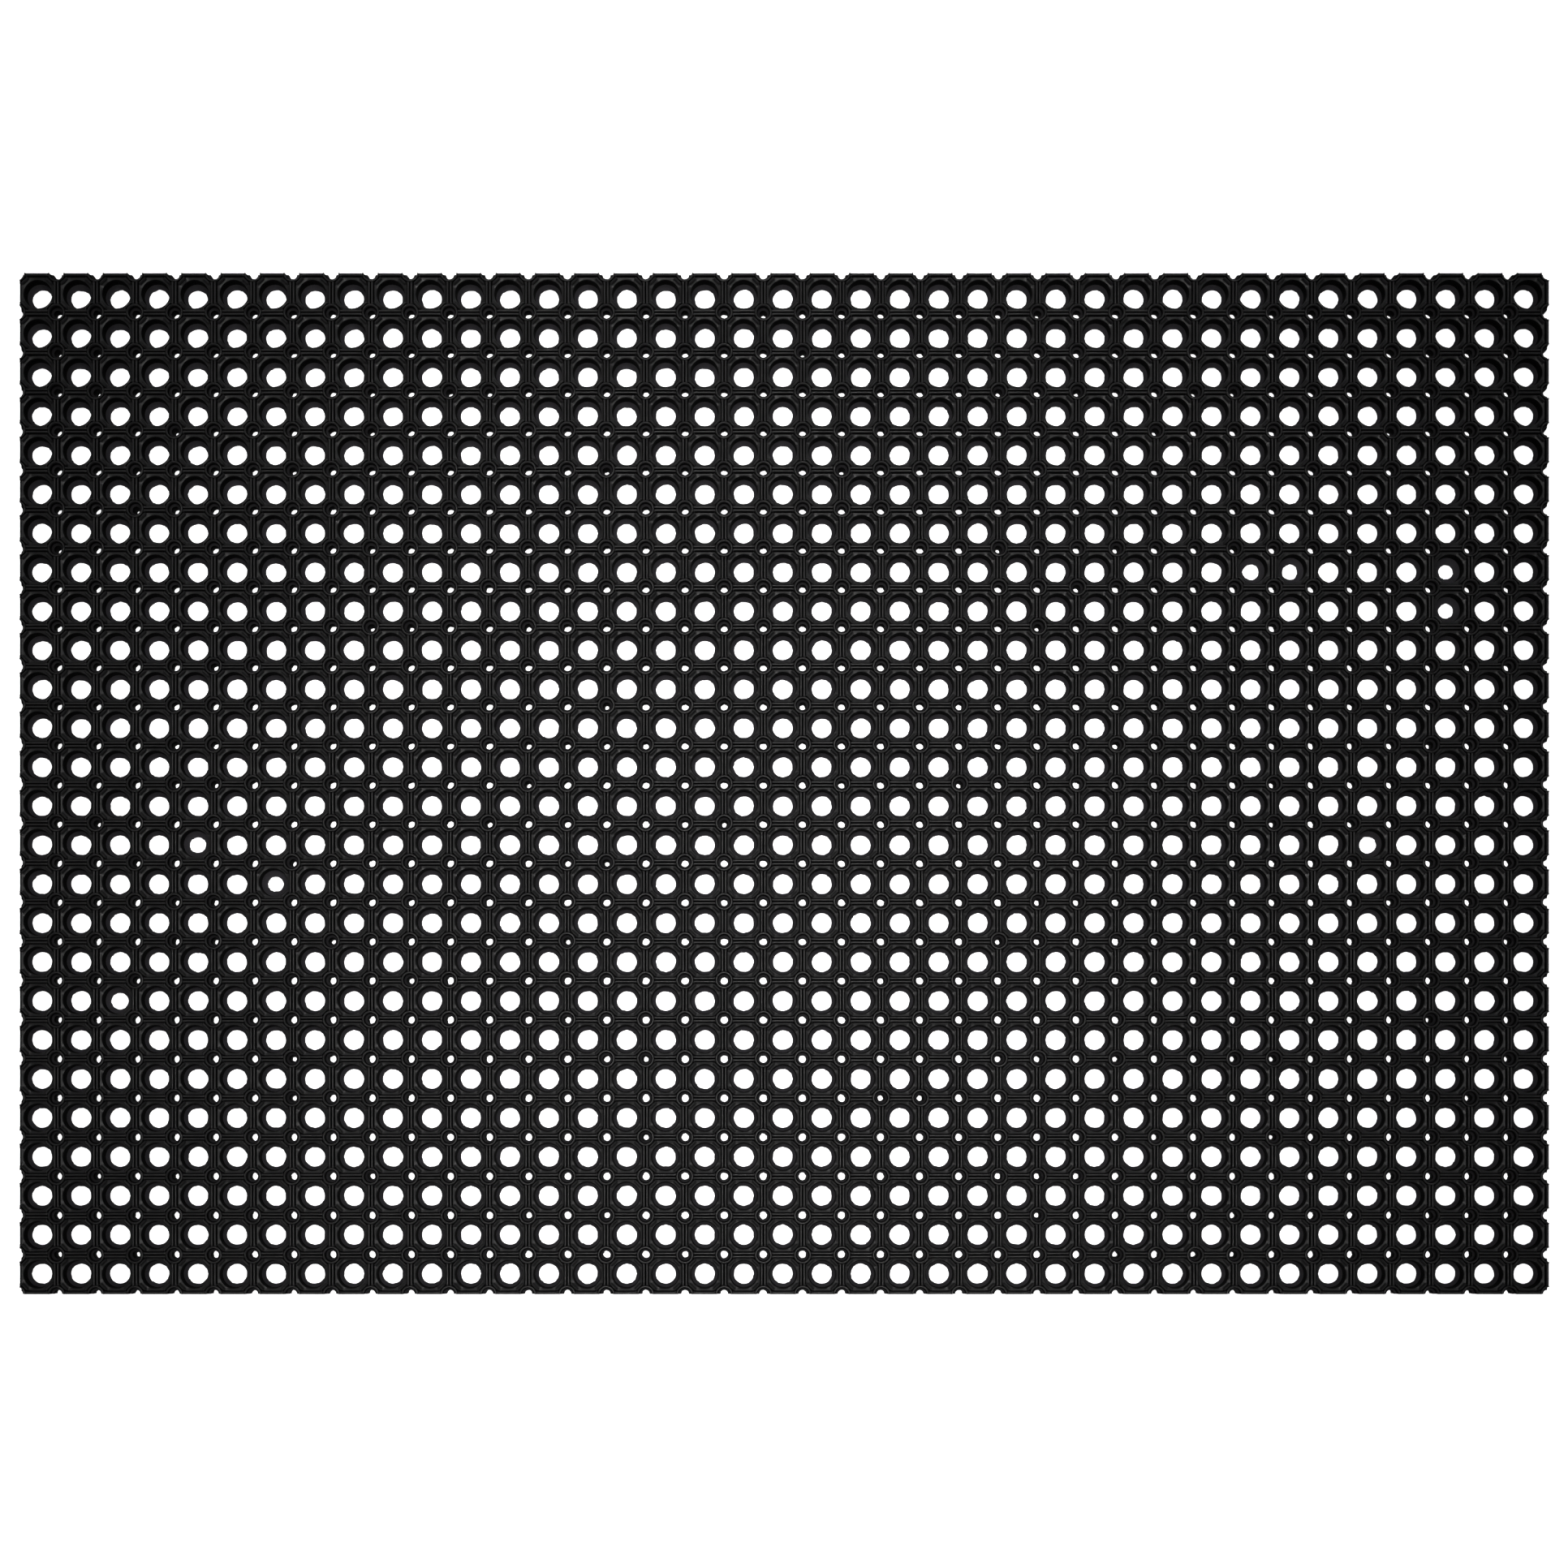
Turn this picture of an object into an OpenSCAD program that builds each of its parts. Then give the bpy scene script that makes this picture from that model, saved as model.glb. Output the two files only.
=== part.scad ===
// Rubber ring mat: one moulded sheet of square cells. Each cell has a large drafted drain ring,
// and a small drain tube sits on every crossing of the grid. The sheet flexes on the grid lines,
// so each column of cells is one strip, and neighbouring strips meet at a living hinge in the tread.
// The mat lies flat: X along its long side, Y along its short side, Z up, origin on the floor at its centre.

/* [Mat] */
// Distance from one cell to the next, both ways, mm
pitch = 38.5; // [38:0.1:40]
// Number of columns along the long side, one strip for each
cols = 39; // [30:1:39]
// Number of cells in a strip, along the short side
rows = 26; // [18:1:28]
// Overall thickness from floor to tread, mm
mat_h = 22; // [20:0.5:25]
// Thickness of the sheet that joins the rings, mm
sheet_t = 7.5; // [6:0.5:9]
// Gap between neighbouring strips at the living hinge, mm
hinge_gap = 0.6; // [0.5:0.05:1]

/* [Large drain rings] */
// Diameter of a large hole at the tread, mm
ring_top_d = 28.4; // [27:0.2:29]
// Diameter of a large hole where its steep upper wall turns into a funnel, mm
ring_mid_d = 26; // [23:0.2:26.4]
// Diameter of a large hole at the floor, where the funnel ends, mm
ring_low_d = 20.8; // [18:0.2:22]
// Depth of the steep upper wall, mm
ring_step = 7; // [5:0.5:9]
// Outside diameter of a ring's foot on the floor, mm
ring_foot_d = 26.4; // [25:0.2:27.4]
// Outside diameter of a ring where it meets the sheet, mm
ring_neck_d = 29; // [28.8:0.2:30]

/* [Small drain tubes] */
// Diameter of a small hole at the tread, mm
small_top_d = 14.4; // [12:0.2:15]
// Diameter of a small hole at the lower end of its tube, mm
small_low_d = 9.2; // [7:0.2:10]
// Outside diameter of a small tube at its lower end, mm
small_foot_d = 13.2; // [12.4:0.2:14]
// Outside diameter of a small tube where it meets the sheet, mm
small_neck_d = 15.2; // [15:0.2:16]
// Height of the small tubes above the floor, mm
small_lift = 3; // [1:0.5:5]

/* [Hidden] */
mat_w = pitch * rows;
strip_w = pitch - hinge_gap;
sheet_z = mat_h - sheet_t;
step_z = mat_h - ring_step;
ring_sides = 48;
small_sides = 36;
rubber = [0.07, 0.07, 0.075];
function strip_name(k) = str("ring_strip_", k < 10 ? "0" : "", k);
function strip_x(k) = (k - (cols + 1) / 2) * pitch;
function cell_y(j) = (j - (rows + 1) / 2) * pitch;
function cross_y(j) = (j - rows / 2) * pitch;

// The flat perforated sheet of one strip, before its holes
module sheet() {
    translate([-strip_w / 2, -mat_w / 2, sheet_z]) cube([strip_w, mat_w, sheet_t]);
}

// The wall of a large ring below the sheet, which is its foot on the floor
module ring_wall() {
    cylinder(h = sheet_z + 0.5, d1 = ring_foot_d, d2 = ring_neck_d, $fn = ring_sides);
}

// The hole in a large ring: a steep wall in the tread, then a funnel down to the floor
module ring_bore() {
    rotate_extrude($fn = ring_sides)
        polygon([[0, -1], [ring_low_d / 2, -1], [ring_low_d / 2, 0], [ring_mid_d / 2, step_z],
                 [ring_top_d / 2, mat_h], [ring_top_d / 2, mat_h + 1], [0, mat_h + 1]]);
}

// The wall of a small tube below the sheet; it ends short of the floor
module small_wall() {
    translate([0, 0, small_lift])
        cylinder(h = sheet_z - small_lift + 0.5, d1 = small_foot_d, d2 = small_neck_d, $fn = small_sides);
}

// The hole in a small tube
module small_bore() {
    rotate_extrude($fn = small_sides)
        polygon([[0, small_lift - 1], [small_low_d / 2, small_lift - 1], [small_low_d / 2, small_lift],
                 [small_top_d / 2, mat_h], [small_top_d / 2, mat_h + 1], [0, mat_h + 1]]);
}

// One column of cells. Its two long sides run through the middle of the small tubes.
module ring_strip(k) {
    color(rubber) translate([strip_x(k), 0, 0]) intersection() {
        translate([-strip_w / 2, -mat_w / 2, 0]) cube([strip_w, mat_w, mat_h]);
        difference() {
            union() {
                sheet();
                for (j = [1 : rows]) translate([0, cell_y(j), 0]) ring_wall();
                for (j = [0 : rows], s = [-1, 1]) translate([s * pitch / 2, cross_y(j), 0]) small_wall();
            }
            for (j = [1 : rows]) translate([0, cell_y(j), 0]) ring_bore();
            for (j = [0 : rows], s = [-1, 1]) translate([s * pitch / 2, cross_y(j), 0]) small_bore();
        }
    }
}

for (k = [1 : cols])
    ring_strip(k);
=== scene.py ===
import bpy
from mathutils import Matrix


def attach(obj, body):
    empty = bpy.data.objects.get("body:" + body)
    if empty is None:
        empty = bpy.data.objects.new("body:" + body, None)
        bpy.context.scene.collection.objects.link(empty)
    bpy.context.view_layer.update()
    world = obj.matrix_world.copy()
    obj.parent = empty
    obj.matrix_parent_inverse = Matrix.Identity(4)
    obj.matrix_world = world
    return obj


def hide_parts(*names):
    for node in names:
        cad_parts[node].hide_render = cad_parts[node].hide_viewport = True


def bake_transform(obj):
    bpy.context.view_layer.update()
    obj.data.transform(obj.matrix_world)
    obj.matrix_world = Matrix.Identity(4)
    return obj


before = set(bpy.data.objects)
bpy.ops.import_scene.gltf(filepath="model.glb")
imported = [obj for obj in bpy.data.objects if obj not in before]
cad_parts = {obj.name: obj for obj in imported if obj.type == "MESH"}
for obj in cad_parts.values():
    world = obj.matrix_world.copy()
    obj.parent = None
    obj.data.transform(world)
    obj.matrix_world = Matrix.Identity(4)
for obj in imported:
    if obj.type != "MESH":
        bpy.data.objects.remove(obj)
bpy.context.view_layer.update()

import math

import bmesh
import bpy
import numpy as np

# ---------------------------------------------------------------- the mat, in millimetres
PITCH = 38.5            # cell to cell
HALF = PITCH / 2
COLS, ROWS = 39, 26
DIAG = HALF * math.sqrt(2)
SIDE = HALF * COLS      # half the long side
SHORT = HALF * ROWS     # half the short side
LEFT_TRIM = 2.6         # the left edge is cut a little inside its row of small holes
COLLAR = 8.3            # radius where a small hole's collar meets the sheet

# Contours of one cell, from its outer line to the large hole, down the bore, over the foot and back under the sheet.
# line: (inset from the grid line, collar radius); octagon: (inset, distance from the small hole's centre along the diagonal);
# ring: (radius,). Then the height beside a rib and the height beside a collar, then relief (0 groove, 1 crest), then bore depth.
CONTOURS = [
    ("line", 0.00, 8.30, 20.60, 20.70, 0.00, 0.0),
    ("line", 0.55, 8.38, 20.60, 20.70, 0.00, 0.0),
    ("line", 1.00, 8.46, 21.80, 20.75, 0.85, 0.0),
    ("line", 1.55, 8.54, 22.00, 20.80, 1.00, 0.0),
    ("line", 2.05, 8.62, 21.75, 20.80, 0.70, 0.0),
    ("oct", 2.38, 8.85, 20.70, 20.55, 0.10, 0.0),
    ("oct", 3.00, 9.25, 18.10, 20.55, 0.00, 0.0),
    ("oct", 3.35, 9.75, 17.75, 21.45, 0.10, 0.0),
    ("oct", 3.62, 10.30, 17.55, 21.60, 0.45, 0.0),
    ("oct", 4.00, 10.75, 17.45, 20.90, 0.50, 0.0),
    ("oct", 4.35, 11.20, 17.35, 18.10, 0.50, 0.0),
    ("oct", 4.65, 11.75, 17.20, 17.35, 0.52, 0.0),
    ("ring", 14.25, 0, 16.95, 17.00, 0.70, 0.0),
    ("ring", 13.98, 0, 16.30, 16.30, 0.10, 0.0),
    ("ring", 13.45, 0, 11.50, 11.50, 0.00, 0.0),
    ("ring", 13.08, 0, 6.00, 6.00, 0.05, 0.0),
    ("ring", 12.75, 0, 5.00, 5.00, 0.50, 0.9),
    ("ring", 10.15, 0, 1.15, 1.15, 0.50, 1.0),
    ("ring", 9.78, 0, 0.50, 0.50, 0.45, 0.9),
    ("ring", 10.10, 0, 0.00, 0.00, 0.40, 1.0),
    ("ring", 12.90, 0, 0.00, 0.00, 0.60, 0.0),
    ("ring", 13.20, 0, 0.35, 0.35, 0.60, 0.0),
    ("ring", 14.35, 0, 13.60, 13.60, 0.40, 0.0),
    ("ring", 15.00, 0, 14.50, 14.50, 0.30, 0.0),
    ("line", 0.00, 8.30, 14.50, 14.50, 0.30, 0.0),
]
M = len(CONTOURS)
LEDGE, THROAT, LIP, SOLE = 16, 17, 18, 19

# A small hole: (radius, height, relief, bore depth), from its collar in and down, then up the outside of its tube.
COLLAR_RINGS = [
    (8.30, 20.70, 0.00, 0.0),
    (8.08, 21.70, 0.70, 0.0),
    (7.72, 22.00, 1.00, 0.0),
    (7.30, 21.95, 1.00, 0.0),
    (7.02, 21.20, 0.40, 0.0),
    (6.70, 17.20, 0.00, 0.0),
    (6.35, 16.00, 0.00, 0.0),
    (5.70, 15.40, 0.15, 0.2),
    (3.98, 14.90, 0.20, 0.2),
    (3.80, 13.80, 0.00, 0.0),
    (3.60, 1.90, 0.15, 0.2),
    (3.80, 1.30, 0.40, 1.0),
    (6.35, 1.30, 0.50, 0.0),
    (6.60, 1.70, 0.50, 0.0),
    (7.60, 13.80, 0.30, 0.0),
    (8.30, 14.50, 0.30, 0.0),
]
R = len(COLLAR_RINGS)

# Large holes left partly closed by flash from the mould: (column, row from the far side) -> radius of what stays open
CLOSED = {(4, 14): 7.9, (6, 15): 7.7, (31, 7): 7.9, (32, 7): 7.6, (36, 7): 7.2, (36, 8): 7.3, (2, 18): 8.4, (34, 14): 8.3}


def half_outline():
    """The outer corners of a cell's right half, from the middle of its near side round to the middle of its far side."""
    flat = HALF - COLLAR
    run = [0.0, 4.9, 9.5]
    pts = [(x, -HALF) for x in run]
    pts += [(HALF + COLLAR * math.cos(math.radians(a)), -HALF + COLLAR * math.sin(math.radians(a))) for a in range(180, 89, -15)]
    pts += [(HALF, y) for y in (-9.5, -4.9, 0.0, 4.9, 9.5)]
    pts += [(HALF + COLLAR * math.cos(math.radians(a)), HALF + COLLAR * math.sin(math.radians(a))) for a in range(270, 179, -15)]
    pts += [(x, HALF) for x in reversed(run)]
    return np.array(pts), flat


OUT, FLAT = half_outline()
S = len(OUT)                                  # rays in a half cell
DIRS = OUT / np.linalg.norm(OUT, axis=1)[:, None]
PHI = np.arctan2(DIRS[:, 1], DIRS[:, 0])
near_line = (np.abs(OUT[:, 0]) > HALF - 1e-6) | (np.abs(OUT[:, 1]) > HALF - 1e-6)
on_rib = near_line.copy()
ARC = ~near_line                              # rays that meet a collar


def reach(kind, a, b):
    """How far along each ray a contour lies."""
    ax = np.abs(DIRS)
    if kind == "ring":
        return np.full(S, float(a))
    t = (HALF - a) / ax.max(1)
    if kind == "line":
        along = HALF * (ax[:, 0] + ax[:, 1])
        off = 2 * HALF * HALF - along ** 2
        room = b * b - off
        hit = np.where(room > 0, along - np.sqrt(np.maximum(room, 0)), np.inf)
        return np.minimum(t, hit)
    cut = (DIAG - b) * math.sqrt(2) / (ax[:, 0] + ax[:, 1])
    # the octagon's corners are eased, as in a mould
    k = 0.35
    h = np.clip(0.5 + 0.5 * (cut - t) / k, 0, 1)
    return cut * (1 - h) + t * h - k * h * (1 - h)


REACH = np.stack([reach(c[0], c[1], c[2]) for c in CONTOURS], 1)          # rays x contours
HEIGHT = np.stack([np.where(on_rib, c[3], c[4]) for c in CONTOURS], 1)
# beside a collar the contours rise and fall at other places than beside a rib
BESIDE = {1: 0.05, 2: 0.10, 3: 0.15, 4: 0.12, 5: 0.0, 6: 0.15, 7: 0.85, 8: 1.0, 9: 0.7, 10: 0.12, 11: 0.60}
RELIEF = np.stack([np.where(on_rib, c[5], BESIDE.get(i, c[5])) for i, c in enumerate(CONTOURS)], 1)
BORE = np.stack([np.full(S, c[6]) for c in CONTOURS], 1)
for lower, upper in zip(range(0, 12), range(1, 13)):
    REACH[:, upper] = np.minimum(REACH[:, upper], REACH[:, lower] - 0.03)


def ragged(seed, n, angles, lobes, size, grit):
    """A small closed wobble, the torn edge of moulding flash, at the given angles."""
    rng = np.random.default_rng(seed)
    out = np.zeros(len(angles))
    for k in lobes:
        out += rng.normal(0, size / k ** 0.5) * np.cos(k * angles + rng.uniform(0, 2 * math.pi))
    table = rng.normal(0, grit, n)
    return out + np.interp(angles % (2 * math.pi), np.linspace(0, 2 * math.pi, n + 1), np.append(table, table[0]))


def half_cell(col, row, side):
    """One half of cell (col, row), both counted from the left near corner. side is +1 for the right half, -1 for the left."""
    cx, cy = (col - (COLS - 1) / 2) * PITCH, (row - (ROWS - 1) / 2) * PITCH
    reach_, height = REACH.copy(), HEIGHT.copy()
    ang = PHI if side > 0 else math.pi - PHI
    seed = 7001 + col * 131 + row * 17
    wob = ragged(seed, 40, ang, (2, 3, 4, 5), 0.11, 0.17)
    open_r = CLOSED.get((col, ROWS - 1 - row))
    # the flash is heavier on the far side of a hole, most of all towards the far left corner
    far, left = row / (ROWS - 1), 1 - col / (COLS - 1)
    own = np.random.default_rng(seed + 9)
    heavy = (0.2 + 1.5 * far * (0.35 + 0.65 * left)) * own.uniform(0.5, 1.15)
    turn = (ang - math.radians(103 + own.uniform(-25, 25)) + math.pi) % (2 * math.pi) - math.pi
    wob -= heavy * np.exp(-(turn / own.uniform(0.8, 1.1)) ** 2)
    lip, throat, sole = reach_[:, LIP] + wob, reach_[:, THROAT] + wob * 0.45, reach_[:, SOLE] + wob * 0.8
    if open_r:
        lip = open_r + wob * 1.1
        throat = open_r + 0.5 + wob * 0.8
        sole = open_r + 0.35 + wob
        height[:, THROAT], height[:, LIP] = 2.0, 1.45
        height[:, SOLE] = 0.9
    reach_[:, LIP], reach_[:, THROAT], reach_[:, SOLE] = lip, throat, sole
    # the walls aren't quite round or quite equal from one ring to the next
    soft = ragged(seed + 3, 8, ang, (1, 2, 3), 0.05, 0.0)
    for m in (13, 14, 15, 16):
        reach_[:, m] += soft * (1.0 if m > 13 else 0.5)
    xy = DIRS[:, None, :] * reach_[:, :, None]
    pos = np.concatenate([xy, height[:, :, None]], 2)
    pos[:, :, 0] *= side
    pos[:, :, 0] += cx
    pos[:, :, 1] += cy
    return pos


def quarter(i, j, a0, a1):
    """A quarter of the small hole at crossing (i, j), between two angles in degrees, 15 degrees a step."""
    x, y = (i - COLS / 2) * PITCH, (j - ROWS / 2) * PITCH
    ang = np.radians(np.linspace(a0, a1, 7))
    rad = np.array([[c[0] for c in COLLAR_RINGS]] * 7)
    wob = ragged(90001 + i * 57 + j * 1009, 24, ang, (2, 3), 0.16, 0.16)
    rng = np.random.default_rng(40009 + i * 57 + j * 1009)
    tight = rng.uniform(0, 1)
    less = 0.0 if tight > 0.12 else rng.uniform(0.5, 1.6)
    rad[:, 10] += wob - less
    rad[:, 11] += wob * 0.7 - less * 0.8
    rad[:, 9] += wob * 0.4 - less * 0.3
    rad[:, 8] += wob * 0.5
    pos = np.zeros((7, R, 3))
    pos[:, :, 0] = x + rad * np.cos(ang)[:, None]
    pos[:, :, 1] = y + rad * np.sin(ang)[:, None]
    pos[:, :, 2] = [c[1] for c in COLLAR_RINGS]
    return pos


WIDTHS = np.concatenate([[0], np.cumsum(np.hypot(np.diff(REACH[12]), np.diff(HEIGHT[12])) + 0.15)])
V_MAIN = WIDTHS / WIDTHS[-1]
cr = np.array([(c[0], c[1]) for c in COLLAR_RINGS])
WC = np.concatenate([[0], np.cumsum(np.hypot(np.diff(cr[:, 0]), np.diff(cr[:, 1])) + 0.15)])
V_COLLAR = WC / WC[-1]
ARC_LEN = np.concatenate([[0], np.cumsum(np.linalg.norm(np.diff(OUT, axis=0), axis=1))])
U_MAIN = ARC_LEN / ARC_LEN[-1]


def grid_quads(base, n, m, flip):
    s, r = np.meshgrid(np.arange(n - 1), np.arange(m - 1), indexing="ij")
    a = base + s * m + r
    q = np.stack([a, a + m, a + m + 1, a + 1], 2).reshape(-1, 4)
    uv = np.stack([np.stack([s, r], 2), np.stack([s + 1, r], 2), np.stack([s + 1, r + 1], 2), np.stack([s, r + 1], 2)], 2).reshape(-1, 4, 2)
    if flip:
        q, uv = q[:, ::-1], uv[:, ::-1]
    return q, uv


class Piece:
    """Gathers cells of one piece of the mat, then welds them into a closed mesh."""

    def __init__(self):
        self.v, self.relief, self.bore, self.q, self.uv, self.gons, self.gon_uv = [], [], [], [], [], [], []
        self.n = 0

    def put(self, pos, relief, bore):
        base = self.n
        flat = pos.reshape(-1, 3)
        self.v.append(flat)
        self.relief.append(np.asarray(relief).reshape(-1))
        self.bore.append(np.asarray(bore).reshape(-1))
        self.n += len(flat)
        return base

    def gon(self, idx, pts, toward, box):
        """A flat end face. toward is the way it faces, box is its patch of the unit square."""
        nrm = np.zeros(3)
        for a, b in zip(pts, np.roll(pts, -1, axis=0)):
            nrm += np.cross(a, b)
        if nrm @ np.array(toward) < 0:
            idx, pts = idx[::-1], pts[::-1]
        plane = pts[:, [1, 2]] if abs(toward[0]) > 0.5 else pts[:, [0, 2]]
        lo, hi = plane.min(0), plane.max(0)
        unit = (plane - lo) / np.maximum(hi - lo, 1e-6)
        self.gons.append(list(idx))
        self.gon_uv.append(np.array(box[:2]) + unit * (np.array(box[2:]) - np.array(box[:2])))

    def add_half(self, col, row, side, slab, cap):
        """slab is 0 or 1 across the unit square. cap: close the half cell at the middle of its column."""
        pos = half_cell(col, row, side)
        base = self.put(pos, RELIEF, BORE)
        q, g = grid_quads(base, S, M, side < 0)
        v0 = row / ROWS
        vh = 0.94 / ROWS
        u0 = 0.5 * slab
        u = u0 + 0.002 + U_MAIN[g[:, :, 0]] * 0.33
        v = v0 + V_MAIN[g[:, :, 1]] * vh
        self.q.append(q)
        self.uv.append(np.stack([u, v], 2))
        for n_, up in enumerate((-1, 1)):
            i, j = (col + 1 if side > 0 else col), (row + 1 if up > 0 else row)
            # the quarter of the small hole that lies in this cell
            if side > 0:
                a0, a1 = (180, 270) if up > 0 else (90, 180)
            else:
                a0, a1 = (270, 360) if up > 0 else (0, 90)
            cp = quarter(i, j, a0, a1)
            cb = self.put(cp, np.broadcast_to([c[2] for c in COLLAR_RINGS], (7, R)), np.broadcast_to([c[3] for c in COLLAR_RINGS], (7, R)))
            q, g = grid_quads(cb, 7, R, False)
            u = u0 + 0.337 + n_ * 0.062 + g[:, :, 0] / 6 * 0.058
            v = v0 + V_COLLAR[g[:, :, 1]] * vh
            self.q.append(q)
            self.uv.append(np.stack([u, v], 2))
            # cut faces of a small hole on the mat's own edges
            if (row == ROWS - 1 and up > 0) or (row == 0 and up < 0):
                k = {180: 0, 90: 6, 270: 6, 0: 0}[a0]
                self.gon(list(range(cb + k * R, cb + k * R + R)), cp[k], (0, up, 0), (u0 + 0.464, v0, u0 + 0.48, v0 + vh))
            if (col == COLS - 1 and side > 0) or (col == 0 and side < 0):
                k = {180: 6, 90: 0, 270: 0, 0: 6}[a0]
                self.gon(list(range(cb + k * R, cb + k * R + R)), cp[k], (side, 0, 0), (u0 + 0.482, v0, u0 + 0.498, v0 + vh))
        # walls along the mat's own edges
        segs = []
        if row == 0:
            segs += [(s, (0, -1, 0)) for s in range(0, 3)]
        if row == ROWS - 1:
            segs += [(s, (0, 1, 0)) for s in range(S - 4, S - 1)]
        if (col == COLS - 1 and side > 0) or (col == 0 and side < 0):
            segs += [(s, (side, 0, 0)) for s in range(9, 15)]
        for s, toward in segs:
            a, b = base + s * M, base + (s + 1) * M
            idx = [a, b, b + M - 1, a + M - 1]
            pts = np.array([pos[s, 0], pos[s + 1, 0], pos[s + 1, M - 1], pos[s, M - 1]])
            f = (s % 12) / 12
            self.gon(idx, pts, toward, (u0 + 0.464 + f * 0.034, v0 + vh + 0.0002, u0 + 0.464 + (f + 1 / 12) * 0.034, v0 + 1 / ROWS - 0.0002))
        if cap:
            for n_, k in enumerate((0, S - 1)):
                self.gon(list(range(base + k * M, base + k * M + M)), pos[k], (-side, 0, 0),
                         (u0 + 0.464 + n_ * 0.008, v0 + 0.3 * vh, u0 + 0.471 + n_ * 0.008, v0 + 0.9 * vh))

    def build(self, name):
        v = np.concatenate(self.v) / 1000.0
        relief, bore = np.concatenate(self.relief), np.concatenate(self.bore)
        key = np.round(v * 1e6).astype(np.int64)
        _, first, inv = np.unique(key, axis=0, return_index=True, return_inverse=True)
        inv = inv.reshape(-1)
        order = np.argsort(first)                       # keep the build order
        rank = np.empty_like(order)
        rank[order] = np.arange(len(order))
        inv = rank[inv]
        first = first[order]
        v, relief, bore = v[first], relief[first], bore[first]
        q = inv[np.concatenate(self.q)]
        uvq = np.concatenate(self.uv)
        gons = [[int(inv[i]) for i in g] for g in self.gons]
        loops = np.concatenate([q.reshape(-1)] + [np.array(g) for g in gons])
        totals = np.concatenate([np.full(len(q), 4), np.array([len(g) for g in gons], int)]).astype(np.int32)
        starts = np.concatenate([[0], np.cumsum(totals)[:-1]]).astype(np.int32)
        uv = np.concatenate([uvq.reshape(-1, 2)] + list(self.gon_uv))
        me = bpy.data.meshes.new(name)
        me.vertices.add(len(v))
        me.vertices.foreach_set("co", v.astype(np.float32).ravel())
        me.loops.add(len(loops))
        me.loops.foreach_set("vertex_index", loops.astype(np.int32))
        me.polygons.add(len(totals))
        me.polygons.foreach_set("loop_start", starts)
        me.polygons.foreach_set("loop_total", totals)
        me.update(calc_edges=True)
        me.validate()
        layer = me.uv_layers.new(name="OFBake")
        layer.data.foreach_set("uv", np.clip(uv, 0, 1).astype(np.float32).ravel())
        ob = bpy.data.objects.new(name, me)
        bpy.context.scene.collection.objects.link(ob)
        at = me.attributes.new("relief", "FLOAT", "POINT")
        at.data.foreach_set("value", relief.astype(np.float32))
        at = me.attributes.new("bore", "FLOAT", "POINT")
        at.data.foreach_set("value", bore.astype(np.float32))
        return ob


def finish_piece(ob, material):
    me = ob.data
    co = np.zeros(len(me.vertices) * 3, np.float32)
    me.vertices.foreach_get("co", co)
    at = me.attributes.new("rest_place", "FLOAT_VECTOR", "POINT")
    at.data.foreach_set("vector", co)
    me.polygons.foreach_set("use_smooth", np.ones(len(me.polygons), bool))
    me.set_sharp_from_angle(angle=math.radians(52))
    me.materials.append(material)
    me.update()


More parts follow.
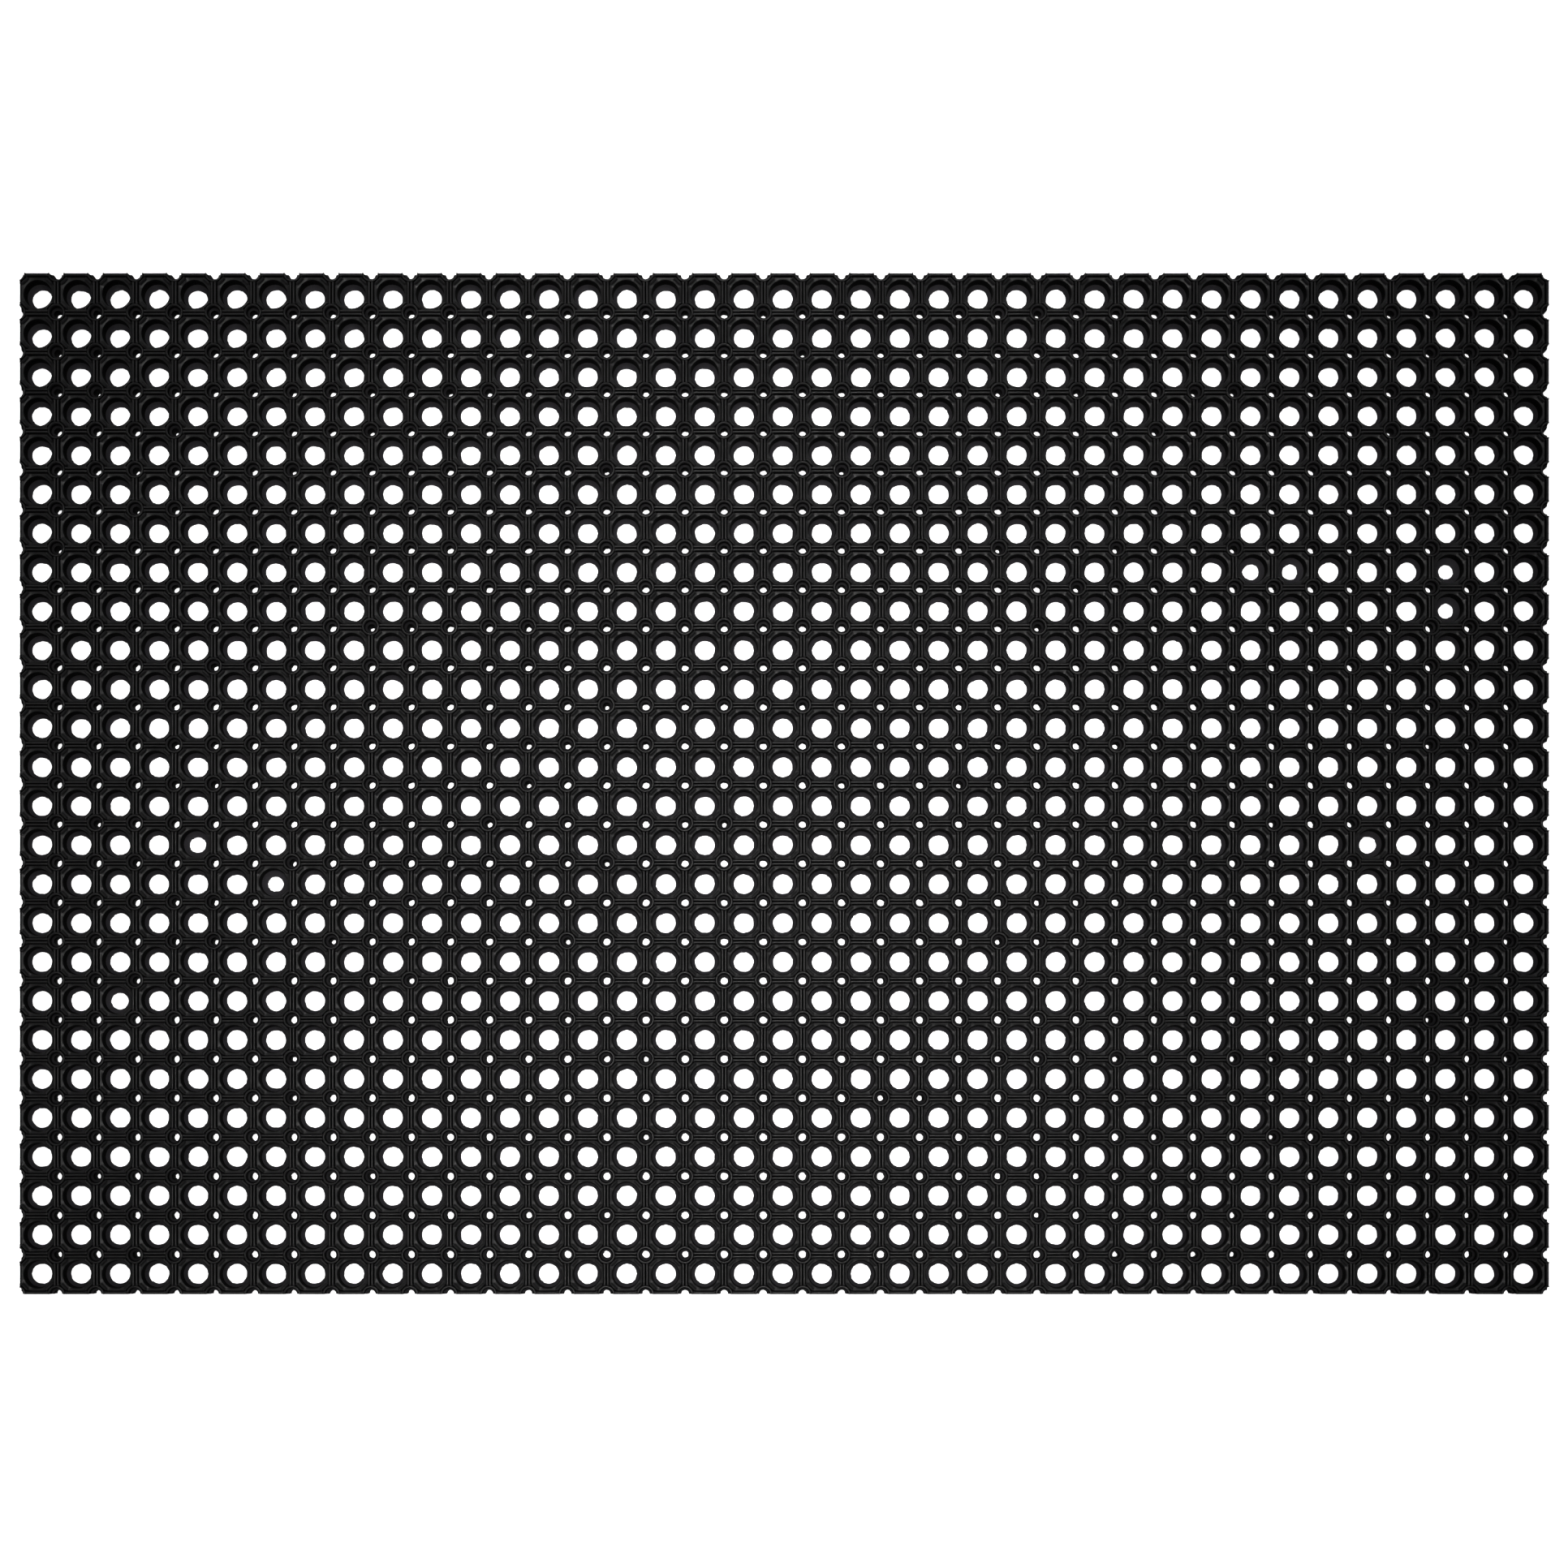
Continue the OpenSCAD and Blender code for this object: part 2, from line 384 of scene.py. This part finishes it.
# ---------------------------------------------------------------- rubber
def rubber():
    mat = bpy.data.materials.new("moulded_black_rubber")
    mat.use_nodes = True
    nt = mat.node_tree
    nt.nodes.clear()
    N, L = nt.nodes.new, nt.links.new

    def math_(op, a, b=None, c=None):
        n = N("ShaderNodeMath")
        n.operation = op
        for k, x in enumerate((a, b, c)):
            if x is None:
                continue
            if isinstance(x, (int, float)):
                n.inputs[k].default_value = x
            else:
                L(x, n.inputs[k])
        return n.outputs[0]

    def mix(fac, a, b):
        n = N("ShaderNodeMix")
        n.data_type = "RGBA"
        if isinstance(fac, (int, float)):
            n.inputs[0].default_value = fac
        else:
            L(fac, n.inputs[0])
        for k, x in ((6, a), (7, b)):
            if isinstance(x, tuple):
                n.inputs[k].default_value = (*x, 1)
            else:
                L(x, n.inputs[k])
        return n.outputs[2]

    def ramp(x, lo, hi, out_lo=0.0, out_hi=1.0):
        n = N("ShaderNodeMapRange")
        n.clamp = True
        L(x, n.inputs[0])
        n.inputs[1].default_value, n.inputs[2].default_value = lo, hi
        n.inputs[3].default_value, n.inputs[4].default_value = out_lo, out_hi
        return n.outputs[0]

    def noise(scale, detail, rough):
        n = N("ShaderNodeTexNoise")
        L(place, n.inputs["Vector"])
        n.inputs["Scale"].default_value = scale
        n.inputs["Detail"].default_value = detail
        n.inputs["Roughness"].default_value = rough
        return n.outputs["Fac"]

    def attr(name):
        n = N("ShaderNodeAttribute")
        n.attribute_name = name
        return n

    place = attr("rest_place").outputs["Vector"]
    relief = attr("relief").outputs["Fac"]
    bore = attr("bore").outputs["Fac"]

    broad = noise(5.0, 3.0, 0.55)          # patches a hand wide, from batch and handling
    cloud = noise(38.0, 4.0, 0.6)          # bloom on the moulded skin
    grain = noise(420.0, 5.0, 0.65)        # skin grain
    fine = noise(1500.0, 3.0, 0.6)

    base = mix(ramp(broad, 0.35, 0.65), (0.0078, 0.0078, 0.0083), (0.0115, 0.0113, 0.0113))
    base = mix(ramp(cloud, 0.42, 0.72, 0.0, 0.45), base, (0.0155, 0.0152, 0.0150))
    # crests are painted paler, a painted highlight along every ridge and collar rim
    # painted highlight: the crest mask lightens the colour where light would catch the ridges
    painted_highlight_crest = math_("MULTIPLY", ramp(relief, 0.55, 1.0), ramp(grain, 0.30, 0.70, 0.55, 1.0))
    base = mix(math_("MULTIPLY", painted_highlight_crest, 0.75), base, (0.042, 0.0415, 0.0410))
    # grooves are painted near black, a painted shade where the grooves fall into shadow
    painted_shade_groove = math_("MULTIPLY", ramp(relief, 0.30, 0.0), math_("SUBTRACT", 1.0, bore))
    base = mix(math_("MULTIPLY", painted_shade_groove, 0.96), base, (0.0005, 0.0005, 0.0006))
    # the bores get a faint violet tint and are painted paler, a painted light that brightens their steep walls towards
    # the flats
    base = mix(math_("MULTIPLY", bore, ramp(cloud, 0.35, 0.7, 0.6, 0.95)), base, (0.0500, 0.0470, 0.0545))
    # specks of dust and lint
    speck = ramp(fine, 0.735, 0.80)
    base = mix(math_("MULTIPLY", speck, 0.5), base, (0.060, 0.058, 0.054))

    # crests under the painted highlight are smoother, grooves and bores stay dull
    rough = math_("ADD", ramp(cloud, 0.3, 0.7, 0.46, 0.54), ramp(grain, 0.3, 0.7, -0.04, 0.05))
    rough = math_("SUBTRACT", rough, math_("MULTIPLY", painted_highlight_crest, 0.09))
    rough = math_("ADD", rough, math_("MULTIPLY", painted_shade_groove, 0.38))
    rough = math_("ADD", rough, math_("MULTIPLY", bore, 0.14))

    h = math_("ADD", math_("MULTIPLY", grain, 0.6), math_("MULTIPLY", fine, 0.25))
    h = math_("ADD", h, math_("MULTIPLY", cloud, 1.2))
    bump = N("ShaderNodeBump")
    bump.inputs["Strength"].default_value = 0.35
    bump.inputs["Distance"].default_value = 0.00025
    L(h, bump.inputs["Height"])

    bsdf = N("ShaderNodeBsdfPrincipled")
    L(base, bsdf.inputs["Base Color"])
    L(rough, bsdf.inputs["Roughness"])
    L(math_("SUBTRACT", 0.38, math_("MULTIPLY", painted_shade_groove, 0.36)), bsdf.inputs["Specular IOR Level"])
    L(math_("SUBTRACT", 1.5, math_("MULTIPLY", painted_shade_groove, 0.40)), bsdf.inputs["IOR"])
    bsdf.inputs["Sheen Weight"].default_value = 0.02
    bsdf.inputs["Sheen Roughness"].default_value = 0.45
    L(bump.outputs[0], bsdf.inputs["Normal"])
    out = N("ShaderNodeOutputMaterial")
    L(bsdf.outputs[0], out.inputs[0])
    return mat


RUBBER = rubber()

# ---------------------------------------------------------------- pieces
# Each piece runs from the middle of one column of cells to the middle of the next, across the grid line where the sheet bends.
pieces = []
for k in range(1, COLS):
    p = Piece()
    for row in range(ROWS):
        p.add_half(k - 1, row, +1, 0, True)
        p.add_half(k, row, -1, 1, True)
    ob = p.build(f"mat_cells_{k:02d}")
    finish_piece(ob, RUBBER)
    pieces.append((ob, k))

right = Piece()
left = Piece()
for row in range(ROWS):
    right.add_half(COLS - 1, row, +1, 0, True)
    left.add_half(0, row, -1, 1, True)
right_end = right.build("mat_edge_right")
left_end = left.build("mat_edge_left")

# trim the left edge just inside its small holes, and close the cut
bm = bmesh.new()
bm.from_mesh(left_end.data)
x_cut = (-SIDE + LEFT_TRIM) / 1000.0
geom = list(bm.verts) + list(bm.edges) + list(bm.faces)
res = bmesh.ops.bisect_plane(bm, geom=geom, dist=1e-7, plane_co=(x_cut, 0, 0), plane_no=(-1, 0, 0), clear_outer=True)
cut_edges = [e for e in bm.edges if e.is_boundary]
bmesh.ops.holes_fill(bm, edges=cut_edges, sides=0)
bmesh.ops.recalc_face_normals(bm, faces=bm.faces)
bm.to_mesh(left_end.data)
bm.free()

finish_piece(right_end, RUBBER)
finish_piece(left_end, RUBBER)

for ob, k in pieces:
    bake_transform(ob)
    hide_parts(f"ring_strip_{k:02d}")
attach(right_end, "strip_39")
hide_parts("ring_strip_39")
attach(left_end, "strip_01")
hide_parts("ring_strip_01")

# ---------------------------------------------------------------- floor
fm = bpy.data.meshes.new("pale_floor")
g = 30.0
fm.from_pydata([(-g, -g, -0.0004), (g, -g, -0.0004), (g, g, -0.0004), (-g, g, -0.0004)], [], [(0, 1, 2, 3)])
floor = bpy.data.objects.new("pale_floor", fm)
bpy.context.scene.collection.objects.link(floor)
fmat = bpy.data.materials.new("pale_floor")
fmat.use_nodes = True
b = fmat.node_tree.nodes["Principled BSDF"]
b.inputs["Base Color"].default_value = (0.86, 0.86, 0.86, 1)
b.inputs["Roughness"].default_value = 0.9
b.inputs["Specular IOR Level"].default_value = 0.1
b.inputs["Emission Color"].default_value = (1, 1, 1, 1)
b.inputs["Emission Strength"].default_value = 0.92
fm.materials.append(fmat)
floor.visible_glossy = False
floor.visible_diffuse = False

# a pale round backdrop far behind everything, so the room has no edge
dome_v, dome_f = [], []
for a in range(0, 7):
    el = math.radians(a * 14)
    for c in range(32):
        az = 2 * math.pi * c / 32
        dome_v.append((29 * math.cos(el) * math.cos(az), 29 * math.cos(el) * math.sin(az), -0.5 + 29 * math.sin(el)))
for a in range(6):
    for c in range(32):
        dome_f.append((a * 32 + c, a * 32 + (c + 1) % 32, (a + 1) * 32 + (c + 1) % 32, (a + 1) * 32 + c))
dm = bpy.data.meshes.new("pale_backdrop")
dm.from_pydata(dome_v, [], dome_f)
dome = bpy.data.objects.new("pale_backdrop", dm)
bpy.context.scene.collection.objects.link(dome)
dmat = bpy.data.materials.new("pale_backdrop")
dmat.use_nodes = True
db = dmat.node_tree.nodes["Principled BSDF"]
db.inputs["Base Color"].default_value = (0.9, 0.9, 0.9, 1)
db.inputs["Emission Color"].default_value = (1, 1, 1, 1)
db.inputs["Emission Strength"].default_value = 0.96
dm.materials.append(dmat)
dome.visible_glossy = False
dome.visible_diffuse = False
dome.visible_shadow = False

# ---------------------------------------------------------------- light
scene = bpy.context.scene
scene.view_settings.view_transform = "Standard"
scene.view_settings.look = "None"
scene.view_settings.exposure = 0.0
scene.view_settings.gamma = 1.0

world = bpy.data.worlds.new("studio")
scene.world = world
world.use_nodes = True
world.node_tree.nodes["Background"].inputs[0].default_value = (0.93, 0.96, 1.0, 1)
# wide studio walls catch on the raised edges; little comes from straight overhead and nothing from below
aim = world.node_tree.nodes.new("ShaderNodeTexCoord")
axes = world.node_tree.nodes.new("ShaderNodeSeparateXYZ")
walls = world.node_tree.nodes.new("ShaderNodeValToRGB")
world.node_tree.links.new(aim.outputs["Generated"], axes.inputs[0])
world.node_tree.links.new(axes.outputs[2], walls.inputs[0])
walls.color_ramp.elements[0].position, walls.color_ramp.elements[0].color = 0.0, (0, 0, 0, 1)
walls.color_ramp.elements[1].position, walls.color_ramp.elements[1].color = 1.0, (0.02, 0.02, 0.02, 1)
for at_, level in ((0.01, 0.02), (0.05, 0.34), (0.28, 0.34), (0.42, 0.09), (0.70, 0.09), (0.90, 0.03)):
    walls.color_ramp.elements.new(at_).color = (level, level, level, 1)
world.node_tree.links.new(walls.outputs[0], world.node_tree.nodes["Background"].inputs[1])


def area(name, place, target, size, power, colour):
    li = bpy.data.lights.new(name, "AREA")
    li.shape = "DISK"
    li.size = size
    li.energy = power
    li.color = colour
    ob = bpy.data.objects.new(name, li)
    ob.location = place
    d = np.array(target, float) - np.array(place, float)
    from mathutils import Vector
    ob.rotation_euler = Vector(d).to_track_quat("-Z", "Y").to_euler()
    scene.collection.objects.link(ob)
    return ob


key = area("key", (-0.04, -0.10, 3.05), (-0.04, -0.10, 0), 0.5, 6.4, (1.0, 0.985, 0.975))
key.data.shape = "RECTANGLE"
key.data.size_y = 1.5
key.data.spread = math.radians(45)        # a grid over the lamp, so the light falls away towards the mat's ends
area("fill", (0.9, 2.2, 2.6), (0.1, 0.2, 0), 2.0, 4.0, (0.86, 0.92, 1.0))

# ---------------------------------------------------------------- camera: straight down, off to the near side, shifted to frame the mat
WIDE = 1.5362           # what the picture's width spans at the tread, m
RANGE = 2.55            # camera above the tread, m
SHIFT = (0.02, 0.235)
cam = bpy.data.cameras.new("camera")
cam.sensor_width = 36.0
cam.lens = 36.0 * RANGE / WIDE
cam.shift_x, cam.shift_y = SHIFT
cam.clip_end = 200.0
camera = bpy.data.objects.new("camera", cam)
camera.location = (0.0010 - SHIFT[0] * WIDE, -SHIFT[1] * WIDE, 0.022 + RANGE)
camera.rotation_euler = (0, 0, 0)
scene.collection.objects.link(camera)
scene.camera = camera
